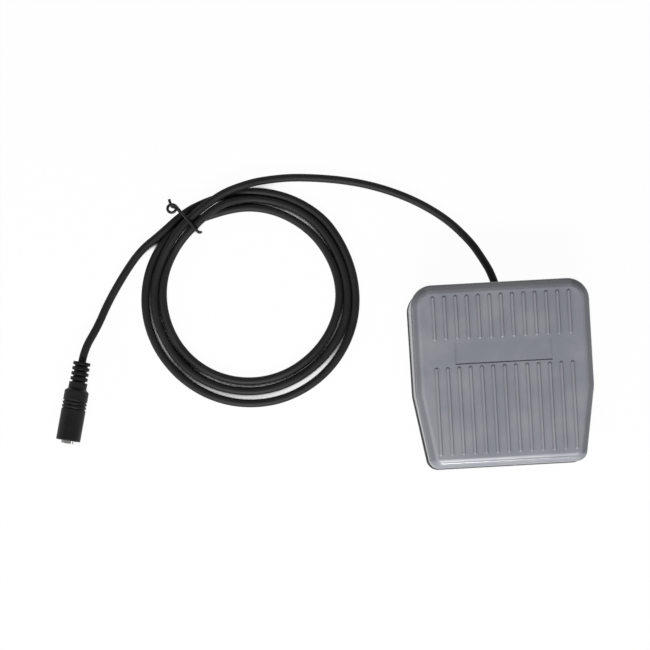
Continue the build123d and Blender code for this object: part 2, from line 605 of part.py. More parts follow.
with BuildPart() as clamp_screws:
    with Locations(*[(x, y, CLAMP_TOP) for x, y in clamp_places]):
        add(pan_screw(CLAMP_TOP - saddle_top + CLAMP_SCREW_BITE - STOP_GAP))
clamp_screws.part.label = "clamp_screws"
export_step(clamp_screws.part, "parts/clamp_screws.step")

# Long screws and nuts that hold the switch to its bracket
nut_face = bracket_face - BRACKET_THICKNESS
switch_screw_length = SWITCH_DEPTH + BRACKET_THICKNESS + NUT_THICKNESS + 0.6
with BuildPart() as switch_screws:
    with Locations(*[(SWITCH_DEPTH / 2, y, z) for y, z in hole_places]):
        Cylinder(SWITCH_HEAD_RADIUS, SWITCH_HEAD_HEIGHT, rotation=(0, 90, 0),
                 align=(Align.CENTER, Align.CENTER, Align.MIN))
    fillet(switch_screws.edges().group_by(Axis.X)[-1], 0.5)
    with Locations(*[(SWITCH_DEPTH / 2, y, z) for y, z in hole_places]):
        Cylinder(SWITCH_SCREW_RADIUS, switch_screw_length, rotation=(0, 90, 0),
                 align=(Align.CENTER, Align.CENTER, Align.MAX))
switch_screws.part.label = "switch_screws"
export_step(switch_screws.part, "parts/switch_screws.step")

with BuildPart() as switch_nuts:
    with BuildSketch(Plane.YZ.offset(nut_face)):
        with Locations(*hole_places):
            RegularPolygon(NUT_ACROSS_FLATS / 2, 6, major_radius=False)
            Circle(SWITCH_SCREW_RADIUS + NUT_CLEARANCE, mode=Mode.SUBTRACT)
    extrude(amount=-NUT_THICKNESS)
switch_nuts.part.label = "switch_nuts"
export_step(switch_nuts.part, "parts/switch_nuts.step")

# Cord grommet in the rear wall: two flanges, a waist and a short nose
nose_start = REAR_WALL_OUT + GROMMET_FLANGE
nose_end = HALF_LENGTH + NOSE_PAST_EDGE
with BuildPart() as cable_grommet:
    with BuildSketch(Plane(origin=(CORD_X, 0, ENTRY_HEIGHT), x_dir=(0, 1, 0), z_dir=(1, 0, 0))):
        with BuildLine():
            Polyline((REAR_WALL_IN - GROMMET_FLANGE, CORD_BORE),
                     (REAR_WALL_IN - GROMMET_FLANGE, GROMMET_FLANGE_RADIUS),
                     (REAR_WALL_IN, GROMMET_FLANGE_RADIUS),
                     (REAR_WALL_IN, GROMMET_WAIST_RADIUS),
                     (REAR_WALL_OUT, GROMMET_WAIST_RADIUS),
                     (REAR_WALL_OUT, GROMMET_FLANGE_RADIUS),
                     (nose_start, GROMMET_FLANGE_RADIUS),
                     (nose_start, GROMMET_NOSE_RADIUS),
                     (nose_end, GROMMET_NOSE_RADIUS - NOSE_DRAFT),
                     (nose_end, CORD_BORE), close=True)
        make_face()
    revolve(axis=Axis((CORD_X, 0, ENTRY_HEIGHT), (0, 1, 0)))
cable_grommet.part.label = "cable_grommet"
export_step(cable_grommet.part, "parts/cable_grommet.step")

# Cord clamp: a bar with a saddle groove, over the saddle of the base
clamp_low = ENTRY_HEIGHT + CLAMP_SPLIT
with BuildPart() as cable_clamp:
    with Locations((CORD_X, CLAMP_Y, clamp_low)):
        Box(2 * CLAMP_HALF_LENGTH, CLAMP_WIDTH, CLAMP_TOP - clamp_low,
            align=(Align.CENTER, Align.CENTER, Align.MIN))
    fillet(cable_clamp.edges().filter_by(Axis.Z), 1.5)
    with Locations((CORD_X, CLAMP_Y, ENTRY_HEIGHT)):
        Cylinder(CORD_BORE, 2 * CLAMP_WIDTH, rotation=(90, 0, 0), mode=Mode.SUBTRACT)
    with Locations(*[(x, y, CLAMP_TOP) for x, y in clamp_places]):
        Cylinder(SCREW_RADIUS + CORD_FIT, 4 * CLAMP_WIDTH, mode=Mode.SUBTRACT)
cable_clamp.part.label = "cable_clamp"
export_step(cable_clamp.part, "parts/cable_clamp.step")

# Inner end of the cord, and the two wires from it to the common and open terminals
lead_start = LEAD_POINTS[0]
with BuildPart() as cord_inner:
    with Locations((CORD_X, STUB_END, ENTRY_HEIGHT)):
        Cylinder(CORD_RADIUS, lead_start[1] - STUB_END, rotation=(-90, 0, 0),
                 align=(Align.CENTER, Align.CENTER, Align.MIN))
cord_inner.part.label = "cord_inner"
export_step(cord_inner.part, "parts/cord_inner.step")

common_end = SWITCH_Y + TERMINAL_OFFSETS["common"] + TERMINAL_WIDTH / 2
open_end = SWITCH_Y + TERMINAL_OFFSETS["open"] + TERMINAL_WIDTH / 2
wire_z = CASE_BOTTOM - TERMINAL_LENGTH / 2
near_x = CORD_X - WIRE_SPACING / 2
far_x = CORD_X + WIRE_SPACING / 2
wire_routes = {
    "common": [(near_x, STUB_END, ENTRY_HEIGHT), (near_x, STUB_END - 2.6, ENTRY_HEIGHT),
               (0, common_end + 3.2, wire_z), (0, common_end, wire_z)],
    "open": [(far_x, STUB_END, ENTRY_HEIGHT), (far_x, STUB_END - 2.8, ENTRY_HEIGHT),
             (2.6, common_end + 1.0, wire_z), (2.4, open_end + 4.8, wire_z),
             (0, open_end + 2.4, wire_z), (0, open_end, wire_z)],
}
for name, route in wire_routes.items():
    wire = tube(route, WIRE_RADIUS)
    wire.label = f"wire_{name}"
    export_step(wire, f"parts/wire_{name}.step")

# Free cord: lead and tail are tubes, the coil is one ring of the turns' outer shape
socket_axis = Vector(sin(radians(SOCKET_HEADING)), cos(radians(SOCKET_HEADING)), 0)
socket_tip = Vector(SOCKET_TIP_X, SOCKET_TIP_Y, SOCKET_RADIUS)
relief_face = socket_tip + socket_axis * SOCKET_END
tail_points = TAIL_POINTS + [tuple(relief_face + socket_axis * TAIL_STRAIGHT), tuple(relief_face)]
for name, route in (("cord_lead", LEAD_POINTS), ("cord_tail", tail_points)):
    cord = tube(route, CORD_RADIUS)
    cord.label = name
    export_step(cord, f"parts/{name}.step")
    print(name, "radii", [round(radius, 1) for radius in tangent_radii(route)])


def upright(angle):
    """Plane across the coil's turns at the given angle: x outwards from the middle, y up."""
    turn = radians(angle)
    return Plane(origin=(COIL_X, COIL_Y, 0), x_dir=(cos(turn), sin(turn), 0),
                 z_dir=(sin(turn), -cos(turn), 0))


coil_middle = (COIL_INNER + COIL_OUTER) / 2
with BuildPart() as cord_coil:
    with BuildSketch(upright(0)):
        with Locations((coil_middle, CORD_RADIUS)):
            RectangleRounded(COIL_OUTER - COIL_INNER, 2 * CORD_RADIUS, COIL_ROUND)
    revolve(axis=Axis((COIL_X, COIL_Y, 0), (0, 0, 1)))
    for pile_start, pile_arc in PILES.values():
        with BuildSketch(Plane.XY.offset(CORD_RADIUS)):
            SlotArc(CenterArc((COIL_X, COIL_Y), coil_middle, pile_start, pile_arc),
                    COIL_OUTER - COIL_INNER - 2 * CORD_RADIUS)
        extrude(amount=PILE_HEIGHT - CORD_RADIUS)
cord_coil.part.label = "cord_coil"
export_step(cord_coil.part, "parts/cord_coil.step")

# Twist tie: a wire loop round the turns, with both of its ends standing out of the coil's outer side
tie_inner = COIL_INNER - TIE_RADIUS
tie_outer = COIL_OUTER + TIE_RADIUS
tie_tip = tie_outer + TIE_END_LENGTH
with BuildPart() as cord_tie:
    with BuildLine(upright(TIE_ANGLE)) as loop:
        FilletPolyline((tie_tip, TIE_END_LOW), (tie_outer, TIE_END_LOW), (tie_outer, TIE_RADIUS),
                       (tie_inner, TIE_RADIUS), (tie_inner, TIE_TOP), (tie_outer, TIE_TOP),
                       (tie_outer, TIE_END_HIGH), (tie_tip, TIE_END_HIGH), radius=TIE_CORNER)
    with BuildSketch(Plane(origin=loop.wires()[0] @ 0, z_dir=loop.wires()[0] % 0)):
        Circle(TIE_RADIUS)
    sweep(path=loop.wires()[0])
cord_tie.part.label = "cord_tie"
export_step(cord_tie.part, "parts/cord_tie.step")

# Inline socket: everything is turned about one axis that lies along the floor
socket_frame = Plane(origin=socket_tip, x_dir=socket_axis, z_dir=(0, 0, 1))
turn_axis = Axis(socket_tip, socket_axis)


def turned(points):
    """Solid of revolution about the socket's axis, from points of distance along and radius."""
    with BuildPart() as body:
        with BuildSketch(socket_frame):
            with BuildLine():
                Polyline(*points, close=True)
            make_face()
        revolve(axis=turn_axis)
    return body


body_points = [(SLEEVE_OUT, SLEEVE_RADIUS), (SLEEVE_OUT, SOCKET_RADIUS - 0.5),
               (SLEEVE_OUT + 0.5, SOCKET_RADIUS)]
for groove in range(GRIP_GROOVES):
    start = GRIP_START + groove * GRIP_PITCH
    body_points += [(start, SOCKET_RADIUS), (start + GRIP_DEPTH / 2, SOCKET_RADIUS - GRIP_DEPTH),
                    (start + GRIP_GROOVE, SOCKET_RADIUS - GRIP_DEPTH),
                    (start + GRIP_GROOVE + GRIP_DEPTH / 2, SOCKET_RADIUS)]
body_points += [(SHOULDER_START - SHOULDER_ROUND, SOCKET_RADIUS),
                (SHOULDER_START - 0.3 * SHOULDER_ROUND, SOCKET_RADIUS - 0.3 * SHOULDER_ROUND),
                (SHOULDER_START, COLLAR_RADIUS), (COLLAR_END, COLLAR_RADIUS)]
for ring in range(RELIEF_RINGS):
    start = COLLAR_END + ring * RELIEF_PITCH
    body_points += [(start, RELIEF_NECK_RADIUS), (start + RELIEF_NECK, RELIEF_NECK_RADIUS),
                    (start + RELIEF_NECK, RELIEF_RADIUS), (start + RELIEF_PITCH, RELIEF_RADIUS)]
body_points += [(SOCKET_END, 0), (INSULATOR_END, 0), (INSULATOR_END, SLEEVE_RADIUS)]
socket_body = turned(body_points)
socket_body.part.label = "socket_body"
export_step(socket_body.part, "parts/socket_body.step")

socket_sleeve = turned([(0, JACK_BORE + 0.4), (0.4, JACK_BORE), (SLEEVE_LENGTH, JACK_BORE),
                        (SLEEVE_LENGTH, SLEEVE_RADIUS), (0.3, SLEEVE_RADIUS), (0, SLEEVE_RADIUS - 0.3)])
socket_sleeve.part.label = "socket_sleeve"
export_step(socket_sleeve.part, "parts/socket_sleeve.step")

# Insulating barrel behind the sleeve, a little wider, with a slot in its wall for the tip contact
barrel_bore = JACK_BORE + BARREL_EASE
bore_end = INSULATOR_END - INSULATOR_WALL
contact_start = bore_end - CONTACT_LENGTH
slot_floor = barrel_bore + CONTACT_THICKNESS
with BuildPart() as socket_insulator:
    add(turned([(SLEEVE_LENGTH, barrel_bore), (bore_end, barrel_bore), (bore_end, 0), (INSULATOR_END, 0),
                (INSULATOR_END, SLEEVE_RADIUS), (SLEEVE_LENGTH, SLEEVE_RADIUS)]).part)
    with BuildSketch(socket_frame.offset(barrel_bore / 2)):
        with Locations(((contact_start + bore_end) / 2, 0)):
            Rectangle(CONTACT_LENGTH, CONTACT_WIDTH + 2 * CORD_FIT)
    extrude(amount=slot_floor - barrel_bore / 2, mode=Mode.SUBTRACT)
socket_insulator.part.label = "socket_insulator"
export_step(socket_insulator.part, "parts/socket_insulator.step")

# Tip contact: a bowed leaf against the floor of its slot
leaf_base = slot_floor - CONTACT_THICKNESS
with BuildPart() as tip_contact:
    with BuildSketch(Plane(origin=socket_tip, x_dir=socket_axis, z_dir=socket_axis.cross(Vector(0, 0, 1)))):
        with BuildLine():
            leaf = ThreePointArc((contact_start + CONTACT_THICKNESS, leaf_base),
                                 (bore_end - CONTACT_LENGTH / 2, leaf_base - CONTACT_RISE),
                                 (bore_end - CONTACT_THICKNESS, leaf_base))
            offset(leaf, amount=-CONTACT_THICKNESS / 2, side=Side.BOTH)
        make_face()
    extrude(amount=CONTACT_WIDTH / 2, both=True)
tip_contact.part.label = "tip_contact"
export_step(tip_contact.part, "parts/tip_contact.step")

print("lever ratio", round(LEVER_RATIO, 4), "lever pivot", PIVOT_Y, PIVOT_Z)
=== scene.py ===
# %% [markdown]
# # A push-to-talk foot switch
# A dispatcher presses this treadle to talk on the radio. The solid model is already there, packed as
# a fixed frame: every housing, spring and screw has its place. This lesson dresses that frame with
# finishes, lays the cord, and adds the few pieces that only a closer look shows.

# %% Load the frame
import json
from math import cos, pi, radians, sin, tan

import bpy
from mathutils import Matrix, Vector


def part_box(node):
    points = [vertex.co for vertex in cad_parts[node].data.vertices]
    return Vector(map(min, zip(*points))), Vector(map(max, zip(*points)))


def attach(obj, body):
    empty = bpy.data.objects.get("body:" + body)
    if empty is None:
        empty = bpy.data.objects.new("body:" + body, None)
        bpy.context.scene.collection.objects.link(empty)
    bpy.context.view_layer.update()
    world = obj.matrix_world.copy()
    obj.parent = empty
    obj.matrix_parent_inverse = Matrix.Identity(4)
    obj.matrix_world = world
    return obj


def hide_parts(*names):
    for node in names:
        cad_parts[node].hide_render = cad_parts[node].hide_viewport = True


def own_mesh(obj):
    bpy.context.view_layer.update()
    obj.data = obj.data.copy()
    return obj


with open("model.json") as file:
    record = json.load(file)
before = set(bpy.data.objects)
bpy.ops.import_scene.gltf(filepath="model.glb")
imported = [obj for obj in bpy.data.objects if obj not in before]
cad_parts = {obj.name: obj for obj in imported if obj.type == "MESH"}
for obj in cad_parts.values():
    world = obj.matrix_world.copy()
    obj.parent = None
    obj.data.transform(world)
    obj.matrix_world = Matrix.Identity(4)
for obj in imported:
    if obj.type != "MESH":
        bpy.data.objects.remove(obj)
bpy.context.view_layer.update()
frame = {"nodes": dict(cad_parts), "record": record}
MM = 0.001
scene = bpy.context.scene

# %% [markdown]
# ## Camera
# The photograph looks down at a table from about 750 mm, 7 degrees off the vertical, with a little
# turn to one side. The focal length in pixels was fitted together with the switch's estimated sizes,
# and Blender wants it as millimetres on a 36 mm sensor. The tracking quaternion keeps the camera's
# top towards the rear of the treadle.

# %% Camera
PHOTO_SIDE = 650
FOCAL_PIXELS = 1328
SENSOR_MM = 36
CAMERA_PLACE = Vector((-101.67, -57.27, 751.36)) * MM
CAMERA_AIM = Vector((-96.60, 34.84, 0.0)) * MM
NEAREST_SEEN = 0.01

camera = bpy.data.objects.new("camera", bpy.data.cameras.new("camera"))
scene.collection.objects.link(camera)
camera.data.sensor_width = SENSOR_MM
camera.data.lens = FOCAL_PIXELS / PHOTO_SIDE * SENSOR_MM
camera.data.clip_start = NEAREST_SEEN
camera.location = CAMERA_PLACE
camera.rotation_mode = "QUATERNION"
camera.rotation_quaternion = (CAMERA_AIM - CAMERA_PLACE).to_track_quat("-Z", "Y")
scene.camera = camera
scene.view_settings.view_transform = "Standard"
print("lens", round(camera.data.lens, 2), "mm")

# %% [markdown]
# ## Node arithmetic
# A procedural finish or shape is mostly arithmetic on masks, noise and distances. Building each Math
# node by hand hides that, so a small class wraps a socket and lets Python's own operators add the
# nodes. A second class holds a node tree and has a single method that makes any other node: settings
# first, because they decide which sockets a node has, then values or links.

# %% Sockets that can be added and multiplied
class Term:
    """A socket's value. Operators on it add Math nodes to its tree."""

    def __init__(self, sheet, socket):
        self.sheet = sheet
        self.socket = socket

    def __add__(self, other):
        return self.sheet.maths("ADD", self, other)

    def __sub__(self, other):
        return self.sheet.maths("SUBTRACT", self, other)

    def __rsub__(self, other):
        return self.sheet.maths("SUBTRACT", other, self)

    def __mul__(self, other):
        return self.sheet.maths("MULTIPLY", self, other)

    def __truediv__(self, other):
        return self.sheet.maths("DIVIDE", self, other)

    def __mod__(self, other):
        return self.sheet.maths("FLOORED_MODULO", self, other)

    __radd__ = __add__
    __rmul__ = __mul__

    def above(self, edge):
        """1 above an edge, 0 below it."""
        return self.sheet.maths("GREATER_THAN", self, edge)

    def between(self, low, high):
        """0 below low, 1 above high, smooth in between."""
        return self.sheet.node("ShaderNodeMapRange", {"interpolation_type": "SMOOTHSTEP"},
                               {"Value": self, "From Min": low, "From Max": high})


class Sheet:
    """A node tree of any kind, with one method that makes its nodes."""

    def __init__(self, tree):
        self.tree = tree
        self.place = None

    def axis(self, letter):
        """One coordinate of a point on the piece."""
        return self.node("ShaderNodeSeparateXYZ", {}, {"Vector": self.place}, letter)

    def node(self, kind, settings, sockets, output=0):
        """A node of any kind, as a Term of the output that is asked for."""
        made = self.tree.nodes.new(kind)
        for name, value in settings.items():
            setattr(made, name, value)
        for name, value in sockets.items():
            self.feed(made.inputs[name], value)
        return Term(self, made.outputs[output])

    def maths(self, operation, first, second=None):
        """A Math node on one or two numbers or terms."""
        sockets = {0: first} if second is None else {0: first, 1: second}
        return self.node("ShaderNodeMath", {"operation": operation}, sockets)

    def feed(self, socket, value):
        """Links a term to a socket, or writes a plain value into it."""
        if isinstance(value, Term):
            self.tree.links.new(value.socket, socket)
        else:
            socket.default_value = value


class Finish(Sheet):
    """One material: a Principled shader, and the nodes that feed it."""

    def __init__(self, name, roughness=0.5, metallic=0.0, specular=0.5, coat_roughness=0.2):
        self.material = bpy.data.materials.new(name)
        self.material.use_nodes = True
        super().__init__(self.material.node_tree)
        self.shader = self.tree.nodes["Principled BSDF"]
        for socket, value in (("Roughness", roughness), ("Metallic", metallic),
                              ("Specular IOR Level", specular),
                              ("Coat Roughness", coat_roughness)):
            self.shader.inputs[socket].default_value = value
        self.place = self.node("ShaderNodeTexCoord", {}, {}, "Object")

    def noise(self, scale, detail=3.0, rough=0.5, place=None):
        """Noise from 0 to 1 on the piece's own coordinates. The scale counts blotches per metre."""
        return self.node("ShaderNodeTexNoise", {"noise_dimensions": "3D"},
                         {"Vector": place or self.place, "Scale": scale, "Detail": detail,
                          "Roughness": rough})

    def stretched(self, scale):
        """The piece's coordinates, scaled apart along X, Y and Z."""
        return self.node("ShaderNodeVectorMath", {"operation": "MULTIPLY"},
                         {0: self.place, 1: scale})

    def mixed(self, share, first, second):
        """A colour between two others."""
        return self.node("ShaderNodeMix", {"data_type": "RGBA"},
                         {"Factor": share, 6: rgba(first), 7: rgba(second)}, 2)

    def paint(self, colour, roughness=None, coat=None):
        """Feeds what changes over the piece into the shader."""
        for name, value in (("Base Color", colour), ("Roughness", roughness),
                            ("Coat Weight", coat)):
            if value is not None:
                self.feed(self.shader.inputs[name], value)

    def relief(self, height, depth, strength=1.0):
        """Bump from a height. The depth says how many metres a height of 1 stands for."""
        bump = self.node("ShaderNodeBump", {}, {"Height": height, "Distance": depth,
                                                "Strength": strength})
        self.feed(self.shader.inputs["Normal"], bump)


def rgba(colour):
    """A colour as a node wants it; a Term is passed on."""
    return colour if isinstance(colour, Term) else (*colour, 1.0)


# %% [markdown]
# ## Treadle finish
# The treadle is a grey moulding with a satin, faintly pebbled skin. Its colour is nearly even: a cool
# grey with a soft mottle. The photograph shows each rib as a pale line between darker ones, and a
# white light along the crest above the front edge. That light is a reflection, so it comes from a
# lamp and from a crest that is smoother than the rest and eased by a bump, not from white paint. The
# ribs' paler tops are partly a guessed wear and partly a painted highlight, and so is the paler grey
# of the crests, strongest at the front and half as strong on the left. The ribs' darker flanks are
# painted shade, and so is the skirt's darker grey, which follows how dark the photograph shows it
# and is lighter at the front. The slope of the plateau and the pitch of the ribs are known from the
# solid model, so these masks are plain arithmetic on the piece's own coordinates.

# %% Places on the treadle
PLATEAU_SLOPE = radians(6)
PLATEAU_HEIGHT = 27.0 * MM
RIB_PITCH = 6.22 * MM
# Where each mask begins and where it is full. Heights are above the plateau
RIB_TOP_HEIGHT = (0.6 * MM, 0.72 * MM)
RIB_FOOT_HEIGHT = (0.01 * MM, 0.06 * MM)
CREST_LOW = (-1.3 * MM, -0.6 * MM)
CREST_HIGH = (-0.08 * MM, -0.01 * MM)
SKIRT_TOP = (-1.4 * MM, -0.5 * MM)
# Distances from the middle of a rib
RIB_TOP_EDGE = (0.3 * MM, 0.5 * MM)
RIB_FLANK_EDGE = (0.36 * MM, 0.62 * MM)
# Distances across and back from the middle of the treadle
FRONT_EDGE = (-47.2 * MM, -45.6 * MM)
EASED_EDGE = (-47.8 * MM, -45.2 * MM)
LEFT_EDGE = (-38 * MM, -30 * MM)
LEFT_EDGE_FADES = (-25 * MM, 20 * MM)


def treadle_places(made):
    """Masks of the treadle's parts: up to 1 on the part, 0 elsewhere."""
    across, back = made.axis("X"), made.axis("Y")
    above = made.axis("Z") - back * tan(PLATEAU_SLOPE) - PLATEAU_HEIGHT
    off_rib = made.maths("ABSOLUTE", (across / RIB_PITCH + 0.5) % 1.0 - 0.5) * RIB_PITCH
    # The rib tops' mask carries wear and a painted highlight.
    rib_top = above.between(*RIB_TOP_HEIGHT) * (1 - off_rib.between(*RIB_TOP_EDGE))
    # The flanks' mask carries painted shade.
    rib_flank = above.between(*RIB_FOOT_HEIGHT) * off_rib.between(*RIB_FLANK_EDGE)
    front = 1 - back.between(*FRONT_EDGE)
    left = (1 - across.between(*LEFT_EDGE)) * (1 - back.between(*LEFT_EDGE_FADES))
    over_skirt = above.between(*CREST_LOW)
    crest = over_skirt * (1 - above.between(*CREST_HIGH))
    # The crests' mask carries wear and a painted highlight, strongest at the front.
    crest_wear_and_highlight = crest * made.maths("MAXIMUM", front, left * 0.5)
    eased = 1 - back.between(*EASED_EDGE)
    smooth = made.maths("MAXIMUM", crest_wear_and_highlight, eased * over_skirt)
    # The skirt's mask carries painted shade, less of it at the front.
    skirt = (1 - above.between(*SKIRT_TOP)) * (1 - front * 0.8)
    return rib_top, rib_flank, crest_wear_and_highlight, eased, smooth, skirt


# %% Treadle finish
TREADLE_GREYS = ((0.2, 0.208, 0.24), (0.25, 0.254, 0.278))
# Painted shade for the skirt
SKIRT_PAINTED_SHADE = (0.1, 0.102, 0.115)
# Painted shade for the ribs' flanks
FLANK_PAINTED_SHADE = (0.09, 0.092, 0.104)
# Wear and painted highlight for the rib tops
RIB_WEAR_AND_HIGHLIGHT = (0.3, 0.305, 0.325)
# Wear and painted highlight for the crests
CREST_WEAR_AND_HIGHLIGHT = (0.3, 0.305, 0.32)
SPECKLE_GREY = (0.14, 0.145, 0.16)
PEBBLE_DEPTH = 0.012 * MM
CREST_EASE = 0.62 * MM


def treadle_grey():
    """Layers of colour over one another, then the gloss, then the bump."""
    made = Finish("treadle_grey", coat_roughness=0.12)
    rib_top, rib_flank, crest_wear_and_highlight, eased, smooth, skirt = treadle_places(made)
    mottle = made.noise(45, 4, 0.55)
    speckle = made.noise(900, 2, 0.6)
    body = made.mixed(mottle.between(0.35, 0.7), *TREADLE_GREYS)
    # Painted shade on the skirt and the ribs' flanks, wear with a painted highlight on the rib tops
    # and crests, then random speckle.
    for share, colour in ((skirt * 0.7, SKIRT_PAINTED_SHADE), (rib_flank * 0.5, FLANK_PAINTED_SHADE),
                          (rib_top * 0.3, RIB_WEAR_AND_HIGHLIGHT), (crest_wear_and_highlight * 0.3, CREST_WEAR_AND_HIGHLIGHT),
                          (speckle * 0.12, SPECKLE_GREY)):
        body = made.mixed(share, body, colour)
    made.paint(body, 0.36 + speckle * 0.12 - smooth * 0.2, coat=0.4 + smooth * 0.6)
    pebble = (speckle * 0.7 + made.noise(260, 3) * 0.5) * PEBBLE_DEPTH
    made.relief(pebble - eased * CREST_EASE, 1.0)
    return made.material


# %% [markdown]
# ## Black plastics and rubbers
# The base, the mat, the cord's jacket and the socket are all black, but no two are the same black.
# The base has a spark-eroded grain, rubber is duller and picks up pale dust, the cord's soft PVC has
# a fine grain and a broad soft highlight, and the socket's moulding is the deepest black. One
# function covers them, because only the numbers differ.

# %% Black finishes
def black(name, colour, dusty, roughness, grain_scale, grain_depth, specular=0.5):
    """A dark moulded finish: an even colour, dust in soft patches, and a grain of the given depth."""
    made = Finish(name, specular=specular)
    dust = made.noise(38, 5, 0.6).between(0.48, 0.75)
    grain = made.noise(grain_scale, 2, 0.55)
    made.paint(made.mixed(dust * 0.55 + grain * 0.2, colour, dusty),
               roughness + dust * 0.1 + grain * 0.08)
    made.relief(grain, grain_depth, 0.6)
    return made.material


# %% [markdown]
# ## Metals
# Drawn wire, turned pins and stamped brackets share a satin zinc look: fine scratches in one
# direction and slow changes of roughness. The socket's sleeve is nickel, brighter and drawn from
# tube, so its noise is squeezed sideways, which leaves faint lines along the sleeve.

# %% Metal finishes
def metal(name, colour, tarnish, roughness, stretch):
    """A satin metal. The scratches run across the axis that is stretched most."""
    made = Finish(name, metallic=1.0)
    scratches = made.noise(220, 4, 0.6, made.stretched(stretch))
    stain = made.noise(70, 3).between(0.45, 0.75)
    made.paint(made.mixed(stain * 0.6, colour, tarnish), roughness + scratches * 0.2 + stain * 0.08)
    made.relief(scratches, 0.02 * MM, 0.5)
    return made.material


# %% [markdown]
# ## Small coloured plastics
# The plunger and the insulation of the two wires are small dyed mouldings. One flat colour would do
# for them, but noise that mixes in a shade of that colour keeps them from looking cut out.

# %% Coloured finishes
def coloured(name, colour, shade, roughness):
    """Insulation and small mouldings: a slightly uneven colour with a fine grain."""
    made = Finish(name)
    cloud = made.noise(300, 3)
    made.paint(made.mixed(cloud, colour, shade), roughness + cloud * 0.1)
    made.relief(made.noise(1500, 2), 0.02 * MM, 0.4)
    return made.material


# %% [markdown]
# ## A finish for each slot
# The frame's record says which material slot each solid belongs to. A dictionary from slot to
# finish keeps all of them in one place, and one loop hands them out. The solids' meshes stay as
# they are.

# %% One finish for each slot of the record
FINISHES = {
    "cover_plastic": treadle_grey(),
    "base_plastic": black("base_black", (0.022, 0.022, 0.024), (0.05, 0.05, 0.052), 0.45, 1400,
                          0.05 * MM),
    "black_rubber": black("rubber_black", (0.016, 0.016, 0.016), (0.06, 0.058, 0.055), 0.7, 900,
                          0.08 * MM, specular=0.3),
    "cord_jacket": black("cord_black", (0.010, 0.010, 0.0105), (0.022, 0.022, 0.023), 0.52, 1100,
                         0.03 * MM, specular=0.26),
    "tie_wire": black("tie_black", (0.009, 0.009, 0.01), (0.026, 0.026, 0.027), 0.4, 1500,
                      0.02 * MM, specular=0.35),
    "socket_plastic": black("socket_black", (0.005, 0.005, 0.0054), (0.012, 0.012, 0.013), 0.42, 1000,
                            0.03 * MM, specular=0.22),
    "switch_plastic": black("switch_black", (0.02, 0.02, 0.022), (0.05, 0.05, 0.05), 0.5, 1600,
                            0.03 * MM),
    "switch_cover_plastic": black("switch_lid_grey", (0.045, 0.045, 0.05), (0.08, 0.08, 0.085), 0.5,
                                  1600, 0.03 * MM),
    "insulator_plastic": black("insulator_grey", (0.035, 0.035, 0.037), (0.06, 0.06, 0.062), 0.45,
                               1200, 0.02 * MM),
    "bright_steel": metal("zinc_steel", (0.56, 0.57, 0.6), (0.36, 0.35, 0.34), 0.24, (1, 1, 6)),
    "socket_nickel": metal("nickel", (0.9, 0.89, 0.87), (0.6, 0.58, 0.55), 0.1, (5, 1, 1)),
    "terminal_brass": metal("brass", (0.72, 0.5, 0.2), (0.4, 0.25, 0.1), 0.28, (1, 4, 1)),
    "plunger_plastic": coloured("plunger_red", (0.42, 0.02, 0.015), (0.34, 0.016, 0.012), 0.35),
    "wire_red": coloured("wire_red", (0.5, 0.018, 0.014), (0.38, 0.014, 0.01), 0.35),
    "wire_white": coloured("wire_white", (0.74, 0.73, 0.7), (0.62, 0.6, 0.56), 0.38),
}

for entry in frame["record"]["subparts"]:
    mesh = frame["nodes"][entry["node"]].data
    mesh.materials.clear()
    mesh.materials.append(FINISHES[entry["material_slot"]])
print("finishes", len(FINISHES))

# %% [markdown]
# ## Cord
# The cord is one length of soft PVC: out of the grommet, round to the left, three turns under a
# twist tie, and a short tail to the socket. It is drawn as one NURBS curve, because such a curve
# bends evenly, as a stiff jacket does. The lead and the tail repeat the route of the solid model,
# whose coil is one ring-shaped bundle. The turns come from a loop over a table of how far out and
# how high the strand lies at each angle: it comes in over the top of the bundle, drops into the
# middle, climbs over to the inside, and slides under to the outside for the last turn.

# %% The cord's route
CORD_RADIUS = 2.25
LEAD_ROUTE = [
    (1.0, 50.0, 9.0), (-0.9, 57.8, 8.8), (-5.3, 67.3, 6.4), (-11.0, 78.0, 3.6), (-24.9, 93.4, 2.25),
    (-46.9, 107.2, 2.25), (-74.4, 117.0, 2.25), (-107.4, 121.4, 2.25), (-127.9, 119.9, 4.4),
    (-138.4, 117.3, 6.5),
]
TAIL_ROUTE = [
    (-188.9, 91.2, 2.25), (-198.4, 84.3, 2.25), (-207.1, 73.7, 2.25), (-218.9, 55.0, 2.25),
    (-225.5, 40.3, 3.4), (-232.79, 27.82, 6.75), (-234.35, 20.49, 6.75),
]
COIL_CENTRE = Vector((-138.0, 54.5))
TURN_STEP = 12.0
